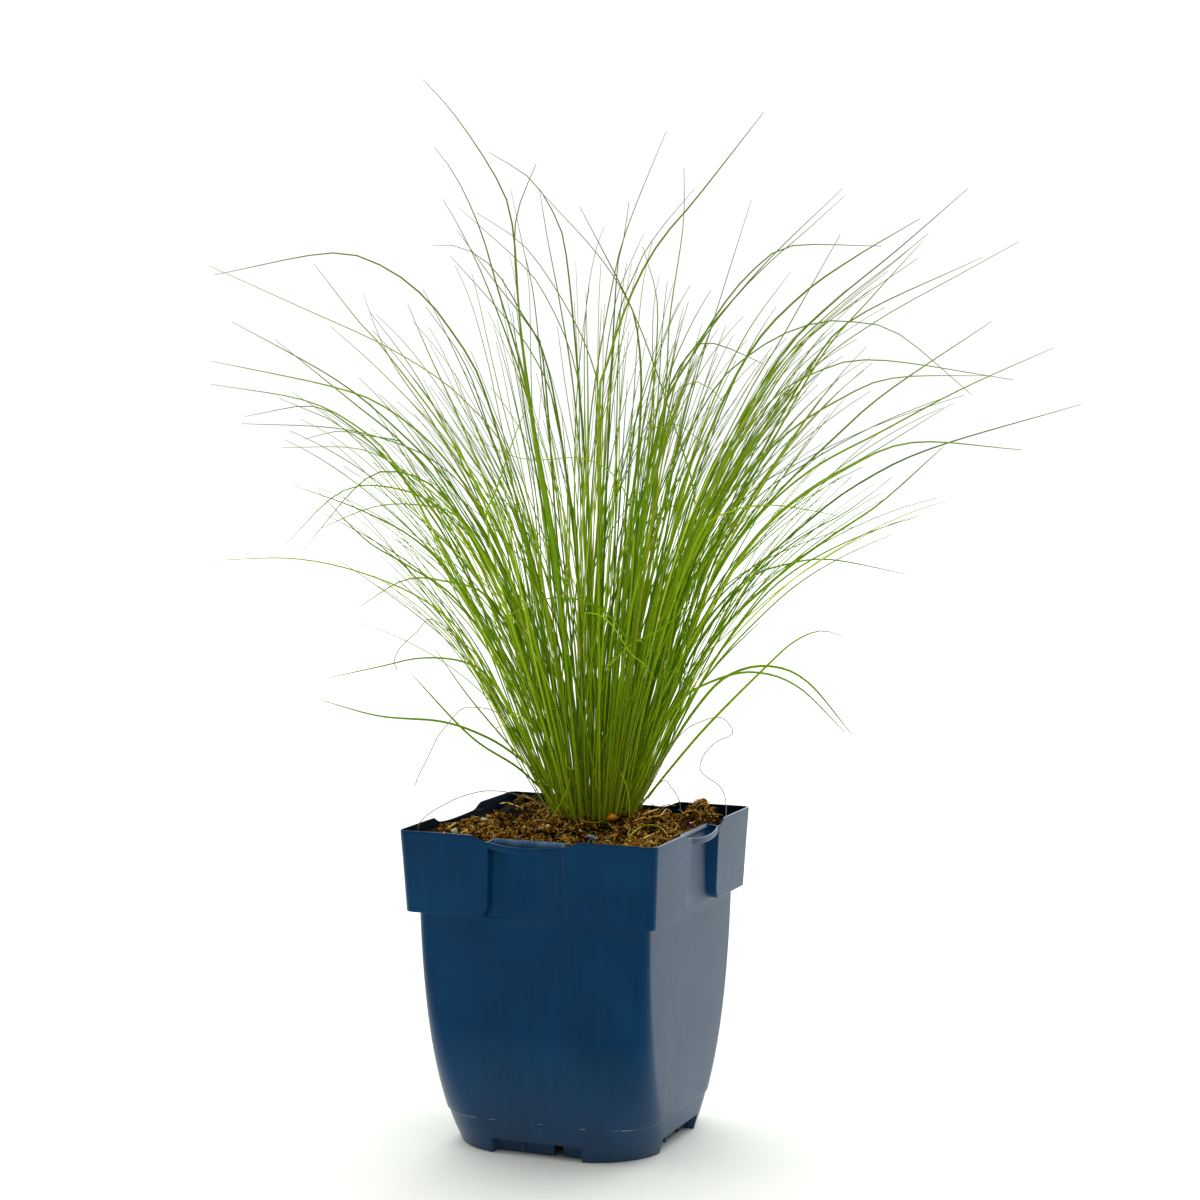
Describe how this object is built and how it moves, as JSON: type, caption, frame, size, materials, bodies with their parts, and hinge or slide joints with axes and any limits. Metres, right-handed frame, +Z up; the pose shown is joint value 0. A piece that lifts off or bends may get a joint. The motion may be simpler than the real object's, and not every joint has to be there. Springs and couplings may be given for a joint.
{
  "type": "potted feather grass",
  "caption": "Tuft of thread-fine arching green leaves growing from dark soil in a square tapered blue plastic nursery pot with label slots.",
  "frame": {"origin": "middle of the pot's foot, on the ground", "axes": "+Z up; the pot's sides lie along X and Y; -Y is the side that the picture shows on the left, and +X the side that it shows on the right"},
  "size_m": [0.3532, 0.2925, 0.4276],
  "materials": {
    "blue_plastic": "satin",
    "peat_soil": "matte",
    "grass_base": "matte",
    "grass_leaf": "satin"
  },
  "bodies": {
    "root": {"pot": "blue_plastic", "soil": "peat_soil", "grass_crown": "grass_base", "leaf_01": "grass_leaf", "leaf_02": "grass_leaf", "leaf_03": "grass_leaf", "leaf_04": "grass_leaf", "leaf_05": "grass_leaf", "leaf_06": "grass_leaf", "leaf_07": "grass_leaf", "leaf_08": "grass_leaf", "leaf_09": "grass_leaf", "leaf_10": "grass_leaf", "leaf_11": "grass_leaf", "leaf_12": "grass_leaf", "leaf_13": "grass_leaf", "leaf_14": "grass_leaf", "leaf_15": "grass_leaf", "leaf_16": "grass_leaf", "leaf_17": "grass_leaf", "leaf_18": "grass_leaf", "leaf_19": "grass_leaf", "leaf_20": "grass_leaf", "leaf_21": "grass_leaf", "leaf_22": "grass_leaf", "leaf_23": "grass_leaf", "leaf_24": "grass_leaf", "leaf_25": "grass_leaf", "leaf_26": "grass_leaf", "leaf_27": "grass_leaf", "leaf_28": "grass_leaf", "leaf_29": "grass_leaf", "leaf_30": "grass_leaf", "leaf_31": "grass_leaf", "leaf_32": "grass_leaf", "leaf_33": "grass_leaf", "leaf_34": "grass_leaf", "leaf_35": "grass_leaf", "leaf_36": "grass_leaf", "leaf_37": "grass_leaf", "leaf_38": "grass_leaf", "leaf_39": "grass_leaf", "leaf_40": "grass_leaf", "leaf_41": "grass_leaf", "leaf_42": "grass_leaf", "leaf_43": "grass_leaf", "leaf_44": "grass_leaf", "leaf_45": "grass_leaf", "leaf_46": "grass_leaf", "leaf_47": "grass_leaf", "leaf_48": "grass_leaf", "leaf_49": "grass_leaf", "leaf_50": "grass_leaf", "leaf_51": "grass_leaf", "leaf_52": "grass_leaf", "leaf_53": "grass_leaf", "leaf_54": "grass_leaf", "leaf_55": "grass_leaf", "leaf_56": "grass_leaf", "leaf_57": "grass_leaf"}
  },
  "joints": []
}
